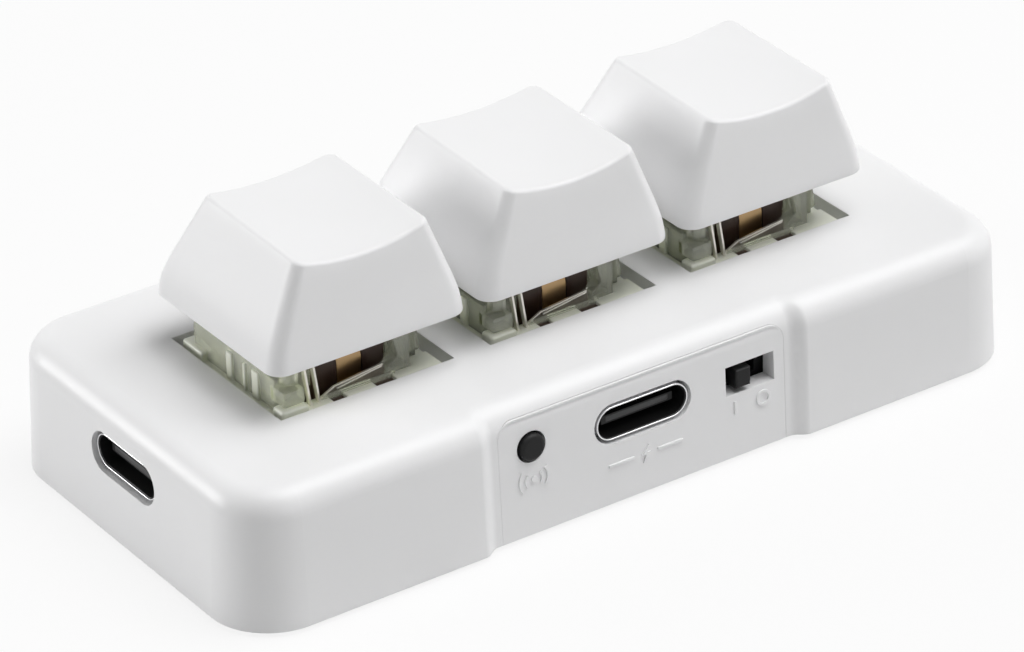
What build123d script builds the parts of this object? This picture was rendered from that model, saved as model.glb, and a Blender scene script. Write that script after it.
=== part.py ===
from build123d import *
import math
import os

os.makedirs("parts", exist_ok=True)

# Three-key macro keypad. Lengths are millimetres and angles degrees. The desk is z = 0, the keys
# run along X and the connection panel faces -Y. The origin is under the middle of the case.

# Feet
foot_stand = 0.4
foot_diameter = 8.0
foot_thickness = 1.0
foot_edge_radius = 0.25
foot_fit = 0.1
foot_inset_x = 10.15
foot_inset_y = 4.7

# Case
case_length = 73.3
case_width = 35.8
case_height = 11.4
case_corner_radius = 5.3
case_draft_angle = 2.5
case_edge_radius = 2.15
case_wall = 2.0
case_roof = 1.7
cut_overrun = 1.0

# Recess in the front of the case, with a soft ramp at each end
recess_depth = 0.7
recess_flat_length = 27.9
recess_ramp_length = 1.45
ramp_stations = 6

# Panel: the tongue of the bottom cover that closes the front wall
panel_width = 26.8
panel_top_drop = 1.25
panel_corner_radius = 1.4
panel_depth = 2.4
panel_gap = 0.12

# Bottom cover and its screws
cover_thickness = 1.1
cover_gap = 0.12
screw_inset = 3.45
screw_boss_diameter = 4.6
screw_pad_diameter = 5.6
screw_pad_height = 2.3
screw_diameter = 1.9
screw_length = 6.0
screw_head_diameter = 3.5
screw_head_height = 1.1
screw_head_sink = 0.1
screw_cross_length = 2.0
screw_cross_width = 0.5
screw_cross_depth = 0.6
screw_fit = 0.05
screw_pass_fit = 0.2

# Keys: pitch, plate and cut-outs in the roof
key_pitch = 19.05
key_travel = 4.0
cutout_side = 15.7
plate_thickness = 1.5
plate_hole = 14.0
tray_wall = 1.2

# Key switch, lower housing
flange_fit = 0.2
flange_thickness = 1.0
flange_drop = 0.6
flange_corner_cut = 1.0
flange_notch_width = 1.5
flange_notch_depth = 0.7
flange_notch_offset = 2.1
housing_fit = 0.025
housing_wall = 1.25
housing_floor = 1.0
boss_diameter = 4.0
boss_length = 2.5
pole_fit = 0.25
bore_floor = 0.5

# Key switch, upper housing
hood_flange_margin = 0.7
hood_top_length = 10.8
hood_top_width = 10.4
hood_height = 5.6
hood_rim_height = 2.1
hood_rim_edge = 0.45
hood_shoulder = 0.9
hood_corner_radius = 1.0
hood_wall = 0.9
hood_mouth_side_fit = 0.2
hood_mouth_front_fit = 0.3
hood_window_width = 6.8
hood_window_height = 3.6
hood_sill = 0.6
hood_notch_height = 0.5

# Key switch, stem
stem_length = 7.0
stem_width = 5.5
stem_floor_gap = 0.5
stem_crown = 1.7
stem_pole_diameter = 2.1
stem_pole_gap = 0.2
stem_leg_width = 1.6
stem_leg_depth = 2.45
stem_leg_spread = 4.6
stem_leg_drop = 1.8
stem_leg_fit = 0.3
cross_arm_length = 4.0
cross_arm_width = 1.25
cross_height = 3.6

# Key switch, spring and contacts
spring_diameter = 4.2
spring_wire = 0.35
spring_turns = 8
spring_seat_gap = 0.05
spring_bore_fit = 0.2
coil_sample_shares = (0, 0.25, 0.5, 0.75)
leaf_width = 2.2
leaf_thickness = 0.25
leaf_rise = 5.0
pin_width = 0.9
pin_thickness = 0.4
pin_stub = 0.9
pin_floor_gap = 0.45
pin_hole_fit = 0.25
pin_grid = 1.27
pin_grid_shares = ((-3, -2), (2, -4))

# Keycap
cap_press_gap = 0.15
cap_side_gap = 1.35
cap_height = 9.45
cap_side_setback = 3.24
cap_front_setback = 0.85
cap_back_setback = 3.8
cap_skirt_height = 1.5
cap_bend_length = 1.2
cap_skirt_slope_share = 0.067
cap_station_shares = (0, 0.09, 0.18, 0.27, 0.38, 1)
cap_base_corner_radius = 1.5
cap_top_corner_radius = 0.85
cap_dish_radius = 20.0
cap_dish_height = 8.0
cap_dish_tilt = 1.27
cap_edge_radius = 0.35
cap_wall = 1.2
cap_roof = 1.5
cap_post_diameter = 5.5
cap_post_lift = 0.2
cross_fit = 0.04
cross_head_gap = 0.1

# Boards
board_thickness = 1.6
board_edge_gap = 0.25
board_front_gap = 0.3
board_battery_gap = 0.7
board_boss_gap = 0.5
port_board_thickness = 1.2
front_board_length = 29.2
front_board_switch_gap = 1.425
side_board_switch_gap = 2.575
side_board_width = 12.4

# Oval sockets
socket_length = 8.94
socket_height = 3.26
socket_wall = 0.25
socket_hole_fit = 0.1
socket_core_fit = 0.05
socket_core_depth = 2.2
socket_tongue_length = 6.7
socket_tongue_thickness = 0.7
socket_tongue_setback = 0.8
front_socket_sink = 0.05
front_socket_tray_gap = 1.1
side_socket_sink = 1.2
side_socket_tray_gap = 0.45

# Round button and the switch behind it
button_x = -10.4
button_rise = 2.28
button_diameter = 2.3
button_hole_fit = 0.17
button_proud = 0.4
button_tail_diameter = 1.7
button_tail_length = 0.7
button_edge_radius = 0.35
button_travel = 0.3
tact_length = 4.3
tact_tray_gap = 0.95
tact_roof_gap = 0.25
tact_front_gap = 2.1
tact_bore_fit = 0.2

# Slide switch
slider_x = 10.2
slider_travel = 1.5
slider_knob_length = 1.4
slider_knob_height = 1.6
slider_knob_edge = 0.15
slider_proud = 0.2
slider_tail_depth = 1.2
slider_slot_fit = 0.2
window_length = 4.65
window_height = 2.5
slide_base_length = 6.6
slide_base_depth = 2.8
slide_base_height = 3.0
slide_base_front_gap = 0.3
slide_can_wall = 0.25

# Battery and parts on the main board
battery_end_gap = 7.9
battery_switch_gap = 2.625
battery_height = 5.2
battery_edge_radius = 1.2
battery_back_gap = 0.5
tab_thickness = 0.15
tab_width = 1.2
tab_reach = 3.0
tab_step = 2.4
tab_landing = 1.4
tab_place_shares = (0.3, 0.72)
radio_switch_gap = 2.775
radio_width = 12.0
radio_height = 2.2
radio_edge_gap = 0.6
chip_side = 5.0
chip_height = 0.9
chip_front_gap = 0.7
crystal_length = 3.2
crystal_width = 1.5
crystal_height = 0.8
crystal_chip_gap = 0.3
crystal_switch_gap = 1.225
charger_length = 3.0
charger_width = 1.7
charger_height = 1.1
charger_shift = 2.0
charger_front_gap = 1.9
small_length = 1.0
small_width = 0.5
small_height = 0.5
small_pitch = 1.6
small_count = 5
small_row_shift = 2.5
small_front_gap = 4.3

# Levels worked out from the stack of pieces
case_base = foot_stand
case_top = case_base + case_height
draft_inset = case_height * math.tan(math.radians(case_draft_angle))
roof_bottom = case_top - case_roof
cover_top = case_base + cover_thickness
flange_top = case_top - flange_drop
plate_top = flange_top - flange_thickness
plate_bottom = plate_top - plate_thickness
board_bottom = cover_top + pin_floor_gap + pin_stub
board_top = board_bottom + board_thickness
port_board_top = board_top + port_board_thickness
housing_floor_top = board_top + housing_floor
boss_bottom = board_top - boss_length
pole_bottom = boss_bottom + bore_floor + key_travel + stem_pole_gap
hood_top = flange_top + hood_height
stem_top = hood_top
stem_bottom = housing_floor_top + key_travel + stem_floor_gap
stem_seat = stem_top - stem_crown
cap_bottom = case_top + key_travel + cap_press_gap
panel_top = case_top - panel_top_drop
socket_z = port_board_top + socket_height / 2
button_z = port_board_top + button_rise
slider_z = port_board_top + slide_base_height / 2

# Sizes worked out from the key row
tray_end = key_pitch + cutout_side / 2 + tray_wall
tray_side = cutout_side / 2 + tray_wall
housing_side = plate_hole - 2 * housing_fit
row_end = key_pitch + housing_side / 2
cap_base = key_pitch - cap_side_gap
flange_side = cutout_side - 2 * flange_fit
hood_base = flange_side - 2 * hood_flange_margin
bore_diameter = stem_pole_diameter + 2 * pole_fit
stem_bore_diameter = spring_diameter + 2 * spring_bore_fit
hood_mouth_length = stem_length + 2 * hood_mouth_side_fit
hood_mouth_width = max(stem_width, cap_post_diameter) + 2 * hood_mouth_front_fit
leg_reach = stem_width / 2 + stem_leg_depth
key_places = {"left": -key_pitch, "middle": 0, "right": key_pitch}

# Planes worked out from the case
cavity_length = case_length - 2 * case_wall
cavity_width = case_width - 2 * case_wall
cavity_radius = case_corner_radius - case_wall
front_plane = -case_width / 2
panel_back = front_plane + panel_depth
left_plane = -case_length / 2
front_strip_depth = case_edge_radius + draft_inset + recess_depth + case_wall
boss_floor = case_base + screw_pad_height
screw_x = cavity_length / 2 - screw_inset
screw_y = cavity_width / 2 - screw_inset
foot_x = cavity_length / 2 - foot_inset_x
foot_y = cavity_width / 2 - foot_inset_y
battery_back = cavity_width / 2 - battery_back_gap
battery_front = housing_side / 2 + battery_switch_gap
battery_end = screw_x - screw_boss_diameter / 2 - battery_end_gap
board_half_length = cavity_length / 2 - board_edge_gap
board_front = panel_back + board_front_gap
board_back = battery_front - board_battery_gap
board_corner = screw_x - screw_boss_diameter / 2 - board_boss_gap
bay_x = (front_board_length / 2 + board_corner) / 2


def panel_face_y(z):
    """Y of the panel's drafted face at height z."""
    return front_plane + recess_depth + draft_inset * (z - case_base) / case_height


def left_face_x(z):
    """X of the case's drafted left end at height z."""
    return left_plane + draft_inset * (z - case_base) / case_height


def block(x0, x1, y0, y1, z0, z1):
    """Box between two corners."""
    return Pos((x0 + x1) / 2, (y0 + y1) / 2, (z0 + z1) / 2) * Box(x1 - x0, y1 - y0, z1 - z0)


def centred_block(x, y, length, width, z0, z1):
    """Box standing on z0, centred on x and y."""
    return block(x - length / 2, x + length / 2, y - width / 2, y + width / 2, z0, z1)


def rod(diameter, x, y, z0, z1):
    """Upright cylinder."""
    return Pos(x, y, (z0 + z1) / 2) * Cylinder(diameter / 2, z1 - z0)


def facing_front(sketch, y0, y1):
    """Sketch drawn in X and Z, made solid from y0 to y1."""
    return extrude(Plane(origin=(0, y1, 0), x_dir=(1, 0, 0), z_dir=(0, -1, 0)) * sketch, amount=y1 - y0)


def facing_side(sketch, x0, x1):
    """Sketch drawn in Y and Z, made solid from x0 to x1."""
    return extrude(Plane(origin=(x0, 0, 0), x_dir=(0, 1, 0), z_dir=(1, 0, 0)) * sketch, amount=x1 - x0)


def rounded_prism(length, width, radius, z0, z1):
    """Upright prism with rounded corners."""
    return extrude(Pos(0, 0, z0) * RectangleRounded(length, width, radius), amount=z1 - z0)


def corner_places(x, y):
    """The four mirrored places of a feature."""
    return [(sx * x, sy * y) for sx in (-1, 1) for sy in (-1, 1)]


def front_profile(x, shift):
    """Section of the case's front edge, moved back by shift."""
    front = front_plane + shift
    back = front_plane + front_strip_depth
    corners = [(front, case_base), (back, case_base), (back, case_top), (front + draft_inset, case_top)]
    outline = Polygon(*corners, align=None)
    top_front = outline.vertices().group_by(Axis.Y)[-1].sort_by(Axis.X)[0]
    outline = fillet(top_front, case_edge_radius)
    return Plane(origin=(x, 0, 0), x_dir=(0, 1, 0), z_dir=(1, 0, 0)) * outline


def outer_body():
    """Solid outside form of the case: drafted sides, rounded top edge, recessed front."""
    outline = Pos(0, 0, case_base) * RectangleRounded(case_length, case_width, case_corner_radius)
    body = extrude(outline, amount=case_height, taper=case_draft_angle)
    body = fillet(body.edges().group_by(Axis.Z)[-1], case_edge_radius)
    half_flat = recess_flat_length / 2
    half_recess = half_flat + recess_ramp_length
    body -= block(-half_recess, half_recess, front_plane - cut_overrun, front_plane + front_strip_depth,
                  case_base - cut_overrun, case_top + cut_overrun)
    sections = []
    for station in range(ramp_stations + 1):
        progress = station / ramp_stations
        shift = recess_depth * (1 - math.cos(math.pi * progress)) / 2
        sections.append(front_profile(-half_recess + progress * recess_ramp_length, shift))
    ramp = loft(sections)
    flat = extrude(front_profile(-half_flat, recess_depth), amount=recess_flat_length, dir=(1, 0, 0))
    return body + flat + ramp + mirror(ramp, about=Plane.YZ)


def panel_block(margin):
    """Upright block that holds the panel's tongue, widened by margin."""
    bottom = case_base - cut_overrun
    top = panel_top + margin
    outline = Pos(0, (bottom + top) / 2) * Rectangle(panel_width + 2 * margin, top - bottom)
    outline = fillet(outline.vertices().group_by(Axis.Y)[-1], panel_corner_radius + margin)
    return facing_front(outline, front_plane - cut_overrun, panel_back + margin)


def socket_outline(margin):
    """Oval outline of a socket, widened by margin."""
    return SlotOverall(socket_length + 2 * margin, socket_height + 2 * margin)


def top_shell(body):
    """Case with its roof, switch tray, screw bosses and openings."""
    shell = body - rounded_prism(cavity_length, cavity_width, cavity_radius,
                                 case_base - cut_overrun, roof_bottom)
    shell += block(-tray_end, tray_end, -tray_side, tray_side, plate_bottom, roof_bottom)
    for x, y in corner_places(screw_x, screw_y):
        shell += rod(screw_boss_diameter, x, y, boss_floor, roof_bottom)
    for x in key_places.values():
        shell -= centred_block(x, 0, cutout_side, cutout_side, plate_top, case_top + cut_overrun)
        shell -= centred_block(x, 0, plate_hole, plate_hole, plate_bottom - cut_overrun, plate_top)
    for x, y in corner_places(screw_x, screw_y):
        pilot = screw_diameter + 2 * screw_fit
        shell -= rod(pilot, x, y, boss_floor - cut_overrun, case_base + screw_length + cut_overrun)
    shell -= panel_block(panel_gap)
    hole = Pos(0, socket_z) * socket_outline(socket_hole_fit)
    shell -= facing_side(hole, left_plane - cut_overrun, left_plane + case_wall + cut_overrun)
    return shell


def bottom_cover(body):
    """Floor plate with the panel's tongue, screw pads and recesses for the feet."""
    cover = rounded_prism(cavity_length - 2 * cover_gap, cavity_width - 2 * cover_gap,
                          cavity_radius - cover_gap, case_base, cover_top)
    for x, y in corner_places(screw_x, screw_y):
        cover += rod(screw_pad_diameter, x, y, case_base, boss_floor)
    cover += body & panel_block(0)
    for x, y in corner_places(screw_x, screw_y):
        head = screw_head_diameter + 2 * screw_pass_fit
        seat = case_base + screw_head_sink + screw_head_height
        cover -= rod(head, x, y, case_base - cut_overrun, seat)
        cover -= rod(screw_diameter + 2 * screw_pass_fit, x, y, seat, boss_floor + cut_overrun)
    recess_top = foot_thickness
    for x, y in corner_places(foot_x, foot_y):
        cover -= rod(foot_diameter + 2 * foot_fit, x, y, case_base - cut_overrun, recess_top)
    front = front_plane - cut_overrun
    back = panel_back + cut_overrun
    cover -= facing_front(Pos(0, socket_z) * socket_outline(socket_hole_fit), front, back)
    button_hole = Circle(button_diameter / 2 + button_hole_fit)
    cover -= facing_front(Pos(button_x, button_z) * button_hole, front, back)
    cover -= facing_front(Pos(slider_x, slider_z) * Rectangle(window_length, window_height), front, back)
    return cover


def cover_screws():
    """Four screws driven from below."""
    screws = []
    for x, y in corner_places(screw_x, screw_y):
        head_bottom = case_base + screw_head_sink
        head_top = head_bottom + screw_head_height
        screw = rod(screw_head_diameter, x, y, head_bottom, head_top)
        screw += rod(screw_diameter, x, y, head_top, case_base + screw_length)
        cross_top = head_bottom + screw_cross_depth
        low = head_bottom - cut_overrun
        screw -= centred_block(x, y, screw_cross_length, screw_cross_width, low, cross_top)
        screw -= centred_block(x, y, screw_cross_width, screw_cross_length, low, cross_top)
        screws.append(screw)
    return Compound(children=screws)


def rubber_feet():
    """Four round pads, standing proud of the cover."""
    feet = []
    for x, y in corner_places(foot_x, foot_y):
        foot = rod(foot_diameter, x, y, 0, foot_thickness)
        feet.append(fillet(foot.edges().group_by(Axis.Z)[0], foot_edge_radius))
    return Compound(children=feet)


def lower_housing():
    """Switch base with its square flange, spring seat and centre boss."""
    housing = centred_block(0, 0, housing_side, housing_side, board_top, plate_top)
    flange = centred_block(0, 0, flange_side, flange_side, plate_top, flange_top)
    housing += chamfer(flange.edges().filter_by(Axis.Z), flange_corner_cut)
    for x in (-flange_notch_offset, flange_notch_offset):
        for y in (-flange_side / 2, flange_side / 2):
            housing -= centred_block(x, y, flange_notch_width, 2 * flange_notch_depth,
                                     plate_top, flange_top + cut_overrun)
    housing += rod(boss_diameter, 0, 0, boss_bottom, board_top)
    inside = housing_side - 2 * housing_wall
    housing -= centred_block(0, 0, inside, inside, housing_floor_top, flange_top + cut_overrun)
    housing -= rod(bore_diameter, 0, 0, boss_bottom + bore_floor, housing_floor_top)
    return housing


def tapered(length, width, radius, top_length, top_width, top_radius, z0, z1):
    """Solid between two rounded rectangles."""
    lower = Pos(0, 0, z0) * RectangleRounded(length, width, radius)
    upper = Pos(0, 0, z1) * RectangleRounded(top_length, top_width, top_radius)
    return loft([lower, upper])


def upper_housing():
    """Clear hood over the stem: a rim, a tapered top open to the stem, and a window at the front."""
    rim_top = flange_top + hood_rim_height
    rim = rounded_prism(hood_base, hood_base, hood_corner_radius, flange_top, rim_top)
    hood = fillet(rim.edges().group_by(Axis.Z)[-1], hood_rim_edge)
    waist = hood_base - 2 * hood_shoulder
    hood += tapered(waist, waist, hood_corner_radius, hood_top_length, hood_top_width,
                    hood_corner_radius, rim_top, hood_top)
    inner_base = waist - 2 * hood_wall
    inner_radius = hood_corner_radius / 2
    hood -= tapered(inner_base, inner_base, inner_radius, hood_top_length - 2 * hood_wall,
                    hood_top_width - 2 * hood_wall, inner_radius, flange_top, hood_top - hood_wall)
    hood -= centred_block(0, 0, hood_mouth_length, hood_mouth_width, flange_top, hood_top + cut_overrun)
    half_window = hood_window_width / 2
    sill = flange_top + hood_sill
    window_top = sill + hood_window_height
    hood -= block(-half_window, half_window, -hood_base, 0, sill, window_top)
    hood -= block(-half_window, half_window, -leg_reach - stem_leg_fit, 0, flange_top, window_top)
    for x in (-flange_notch_offset, flange_notch_offset):
        hood -= centred_block(x, -hood_base / 2, flange_notch_width, 2 * flange_notch_depth,
                              flange_top, flange_top + hood_notch_height)
    return hood


def cross_shape(margin):
    """Cross of the stem's top, widened by margin."""
    long_side = cross_arm_length + 2 * margin
    short_side = cross_arm_width + 2 * margin
    return Rectangle(long_side, short_side) + Rectangle(short_side, long_side)


def stem():
    """Slider with its cross, spring bore, guide pole and two contact legs."""
    slider = centred_block(0, 0, stem_length, stem_width, stem_bottom, stem_top)
    leg_top = stem_top - stem_leg_drop
    for x in (-stem_leg_spread / 2, stem_leg_spread / 2):
        slider += block(x - stem_leg_width / 2, x + stem_leg_width / 2, -leg_reach, 0, stem_bottom, leg_top)
    slider -= rod(stem_bore_diameter, 0, 0, stem_bottom - cut_overrun, stem_seat)
    slider += rod(stem_pole_diameter, 0, 0, pole_bottom, stem_seat)
    return slider + extrude(Pos(0, 0, stem_top) * cross_shape(0), amount=cross_height)


def cap_inset(height, setback):
    """How far a side of the cap leans in at a height: nearly upright, then sloping up to setback."""
    def bend(at):
        return (at - cap_skirt_height + math.hypot(at - cap_skirt_height, cap_bend_length)) / 2

    slope_share = (bend(height) - bend(0)) / (bend(cap_height) - bend(0))
    return cap_skirt_slope_share * height + (setback - cap_skirt_slope_share * cap_height) * slope_share


def cap_section(height):
    """Outline of the cap at a height above its lower edge."""
    front = cap_inset(height, cap_front_setback)
    back = cap_inset(height, cap_back_setback)
    length = cap_base - 2 * cap_inset(height, cap_side_setback)
    narrowing = (cap_base_corner_radius - cap_top_corner_radius) * height / cap_height
    outline = RectangleRounded(length, cap_base - front - back, cap_base_corner_radius - narrowing)
    return Pos(0, (front - back) / 2, cap_bottom + height) * outline


def keycap():
    """Cap with bent sides, a cylindrical dish and a post that grips the cross."""
    cap = loft([cap_section(cap_height * share) for share in cap_station_shares], ruled=True)
    axis_z = cap_bottom + cap_dish_height + cap_dish_radius
    dish = Cylinder(cap_dish_radius, 2 * cap_base, rotation=(90 + cap_dish_tilt, 0, 0))
    cap -= Pos(0, 0, axis_z) * dish
    cap = fillet(cap.faces().filter_by(GeomType.CYLINDER).sort_by(SortBy.AREA)[-1].edges(), cap_edge_radius)
    inner_height = cap_dish_height - cap_roof
    rise_share = inner_height / cap_height
    inner_length = cap_base - 2 * cap_wall
    inner_top_length = inner_length - 2 * cap_side_setback * rise_share
    inner_top_width = inner_length - (cap_front_setback + cap_back_setback) * rise_share
    inner_radius = cap_top_corner_radius
    inner_lower = Pos(0, 0, cap_bottom) * RectangleRounded(inner_length, inner_length, inner_radius)
    inner_upper = RectangleRounded(inner_top_length, inner_top_width, inner_radius)
    inner_y = (cap_front_setback - cap_back_setback) * rise_share / 2
    cap -= loft([inner_lower, Pos(0, inner_y, cap_bottom + inner_height) * inner_upper])
    post_bottom = stem_top + cap_post_lift
    cap += rod(cap_post_diameter, 0, 0, post_bottom, cap_bottom + inner_height)
    grip = stem_top + cross_height + cross_head_gap - post_bottom
    cap -= extrude(Pos(0, 0, post_bottom) * cross_shape(cross_fit), amount=grip)
    return cap


def helix_point(angle, radius, low, rise):
    """Point and direction on a helix that climbs rise in one turn."""
    climb = rise / (2 * math.pi)
    point = Vector(radius * math.cos(angle), radius * math.sin(angle), low + climb * angle)
    direction = Vector(-radius * math.sin(angle), radius * math.cos(angle), climb).normalized()
    return point, direction


def biarc(start, start_direction, end, end_direction):
    """Two arcs that leave start and reach end in the given directions."""
    chord = end - start
    bend = 2 - 2 * start_direction.dot(end_direction)
    along = chord.dot(start_direction + end_direction)
    reach = (-along + math.sqrt(along * along + bend * chord.dot(chord))) / bend
    first_corner = start + start_direction * reach
    second_corner = end - end_direction * reach
    middle = (first_corner + second_corner) * 0.5
    middle_direction = (second_corner - first_corner).normalized()
    return [Edge.make_tangent_arc(start, start_direction, middle),
            Edge.make_tangent_arc(middle, middle_direction, end)]


def least_coil_gap(path_edges):
    """Least clear space between turns, measured on points of the path."""
    points = [edge @ share for edge in path_edges for share in coil_sample_shares]
    half_turn = len(points) // (2 * spring_turns)
    gaps = [(first - points[later]).length
            for number, first in enumerate(points)
            for later in range(number + half_turn, len(points))]
    return min(gaps) - spring_wire


def spring():
    """Return spring from the housing floor to the stem's seat, one unbroken wire."""
    low = housing_floor_top + spring_seat_gap + spring_wire / 2
    high = stem_seat - spring_seat_gap - spring_wire / 2
    rise = (high - low) / spring_turns
    radius = (spring_diameter - spring_wire) / 2
    edges = []
    for quarter in range(4 * spring_turns):
        start, start_direction = helix_point(quarter * math.pi / 2, radius, low, rise)
        end, end_direction = helix_point((quarter + 1) * math.pi / 2, radius, low, rise)
        edges += biarc(start, start_direction, end, end_direction)
    print("spring: least gap between turns", round(least_coil_gap(edges), 3), "mm")
    start, start_direction = helix_point(0, radius, low, rise)
    section = Plane(origin=start, z_dir=start_direction) * Circle(spring_wire / 2)
    return sweep(section, path=Wire(edges))


def contact_leaf():
    """Copper leaf that stands behind the window, between the stem's legs."""
    return block(-leaf_width / 2, leaf_width / 2, -leg_reach, leaf_thickness - leg_reach,
                 housing_floor_top, plate_top + leaf_rise)


def pin_places():
    """Places of the two solder pins of a switch, on the common grid."""
    return [(pin_grid * across, pin_grid * back) for across, back in pin_grid_shares]


def contact_pins():
    """Two flat pins soldered through the board."""
    pins = [centred_block(x, y, pin_width, pin_thickness, board_bottom - pin_stub, board_top)
            for x, y in pin_places()]
    return Compound(children=pins)


def main_board():
    """Board under the switches, with its front corners cut back for the screw bosses."""
    board = block(-board_half_length, board_half_length, board_front, board_back, board_bottom, board_top)
    low = board_bottom - cut_overrun
    high = board_top + cut_overrun
    corner_back = screw_boss_diameter / 2 + board_boss_gap - screw_y
    corner = block(board_corner, board_half_length + cut_overrun,
                   board_front - cut_overrun, corner_back, low, high)
    board -= corner + mirror(corner, about=Plane.YZ)
    pin_hole = pin_width + 2 * pin_hole_fit
    for x in key_places.values():
        board -= rod(boss_diameter + 2 * pin_hole_fit, x, 0, low, high)
        for pin_x, pin_y in pin_places():
            board -= rod(pin_hole, x + pin_x, pin_y, low, high)
    return board


def front_board():
    """Narrow board that carries the parts behind the panel."""
    return block(-front_board_length / 2, front_board_length / 2,
                 board_front, -housing_side / 2 - front_board_switch_gap, board_top, port_board_top)


def side_board():
    """Small board under the left socket."""
    return block(-board_half_length, -row_end - side_board_switch_gap,
                 -side_board_width / 2, side_board_width / 2, board_top, port_board_top)


def socket_shell(start, end, solid_along):
    """Oval metal tube, running inwards from start to end."""
    tube = solid_along(Pos(0, socket_z) * socket_outline(0), start, end)
    return tube - solid_along(Pos(0, socket_z) * socket_outline(-socket_wall),
                              start - cut_overrun, end + cut_overrun)


def socket_core(start, end, solid_along):
    """Insulator at the back of the tube, with the contact tongue in its middle."""
    filling = socket_outline(-socket_wall - socket_core_fit)
    core = solid_along(Pos(0, socket_z) * filling, end - socket_core_depth, end)
    tongue = Rectangle(socket_tongue_length, socket_tongue_thickness)
    return core + solid_along(Pos(0, socket_z) * tongue, start + socket_tongue_setback, end)


def tact_front():
    """Y of the front face of the switch behind the button."""
    return panel_back + tact_front_gap


def connect_button():
    """Round button with a tail that reaches into its switch."""
    face = panel_face_y(button_z) - button_proud
    button = facing_front(Pos(button_x, button_z) * Circle(button_diameter / 2),
                          face, tact_front() - button_travel - button_hole_fit)
    button = fillet(button.edges().group_by(Axis.Y)[0], button_edge_radius)
    tail = Circle(button_tail_diameter / 2)
    return button + facing_front(Pos(button_x, button_z) * tail, face + button_travel,
                                 tact_front() + button_tail_length)


def tact_switch_body():
    """Switch behind the button, bored for the button's tail."""
    front = tact_front()
    body = block(button_x - tact_length / 2, button_x + tact_length / 2, front, -tray_side - tact_tray_gap,
                 port_board_top, roof_bottom - tact_roof_gap)
    bore = Circle(button_tail_diameter / 2 + tact_bore_fit)
    bore_end = front + button_tail_length + button_travel + tact_bore_fit
    return body - facing_front(Pos(button_x, button_z) * bore, front - cut_overrun, bore_end)


def slide_front():
    """Y of the front face of the slide switch."""
    return panel_back + slide_base_front_gap


def power_slider():
    """Knob of the slide switch, at the left end of its travel."""
    x = slider_x - slider_travel / 2
    face = panel_face_y(slider_z) - slider_proud
    outline = Pos(x, slider_z) * Rectangle(slider_knob_length, slider_knob_height)
    knob = facing_front(outline, face, slide_front() + slider_tail_depth)
    return fillet(knob.faces().sort_by(Axis.Y)[0].edges(), slider_knob_edge)


def slide_switch_base():
    """Block of the slide switch, slotted for the knob."""
    front = slide_front()
    base = block(slider_x - slide_base_length / 2, slider_x + slide_base_length / 2,
                 front, front + slide_base_depth, port_board_top, port_board_top + slide_base_height)
    slot_length = slider_knob_length + slider_travel + 2 * slider_slot_fit
    slot_height = slider_knob_height + 2 * slider_slot_fit
    slot_end = front + slider_tail_depth + slider_slot_fit
    slot = Pos(slider_x, slider_z) * Rectangle(slot_length, slot_height)
    return base - facing_front(slot, front - cut_overrun, slot_end)


def slide_switch_can():
    """Bent metal cover over the top, ends and back of the slide switch."""
    half = slide_base_length / 2
    front = slide_front()
    top = port_board_top + slide_base_height
    can = block(slider_x - half - slide_can_wall, slider_x + half + slide_can_wall, front,
                front + slide_base_depth + slide_can_wall, port_board_top, top + slide_can_wall)
    return can - block(slider_x - half, slider_x + half, front - cut_overrun, front + slide_base_depth,
                       port_board_top - cut_overrun, top)


def battery_cell():
    """Slim cell lying behind the switches."""
    cell = block(-battery_end, battery_end, battery_front, battery_back,
                 cover_top, cover_top + battery_height)
    return fillet(cell.edges().filter_by(Axis.X), battery_edge_radius)


def battery_tabs():
    """Two flat strips from the cell's right end to the board."""
    landing = board_back - tab_landing
    top = board_top + tab_thickness
    tabs = []
    for number, place_share in enumerate(tab_place_shares):
        y = battery_front + place_share * (battery_back - battery_front)
        end = battery_end + tab_reach + number * tab_step
        tab = block(battery_end, end, y - tab_width / 2, y + tab_width / 2, board_top, top)
        tabs.append(tab + block(end - tab_width, end, landing, y + tab_width / 2, board_top, top))
    return Compound(children=tabs)


def on_board(x, y, length, width, height):
    """Box standing on the main board."""
    return centred_block(x, y, length, width, board_top, board_top + height)


def small_parts():
    """Two rows of small resistors and capacitors on the main board."""
    parts = []
    for row in range(2):
        for place in range(small_count):
            x = bay_x - small_row_shift + place * small_pitch
            y = board_front + small_front_gap + row * small_pitch
            parts.append(on_board(x, y, small_length, small_width, small_height))
    return Compound(children=parts)


def save(name, shape):
    """Write one piece to its own file."""
    export_step(shape, os.path.join("parts", name + ".step"))


case_body = outer_body()
front_start = panel_face_y(socket_z) + front_socket_sink
front_end = -tray_side - front_socket_tray_gap
side_start = left_face_x(socket_z) + side_socket_sink
side_end = -tray_end - side_socket_tray_gap

save("top_shell", top_shell(case_body))
save("bottom_cover", bottom_cover(case_body))
save("cover_screws", cover_screws())
save("rubber_feet", rubber_feet())
save("main_board", main_board())
save("front_board", front_board())
save("side_board", side_board())
save("front_socket_shell", socket_shell(front_start, front_end, facing_front))
save("front_socket_core", socket_core(front_start, front_end, facing_front))
save("side_socket_shell", socket_shell(side_start, side_end, facing_side))
save("side_socket_core", socket_core(side_start, side_end, facing_side))
save("connect_button", connect_button())
save("tact_switch_body", tact_switch_body())
save("power_slider", power_slider())
save("slide_switch_base", slide_switch_base())
save("slide_switch_can", slide_switch_can())
save("battery_cell", battery_cell())
save("battery_tabs", battery_tabs())
radio_start = row_end + radio_switch_gap
radio_end = board_half_length - radio_edge_gap
radio_x = (radio_start + radio_end) / 2
chip_y = board_front + chip_front_gap + chip_side / 2
crystal_x = -bay_x - (chip_side + crystal_length) / 2 - crystal_chip_gap
crystal_y = -(housing_side + crystal_width) / 2 - crystal_switch_gap
charger_x = bay_x - charger_shift
charger_y = board_front + charger_front_gap + charger_width / 2
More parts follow.
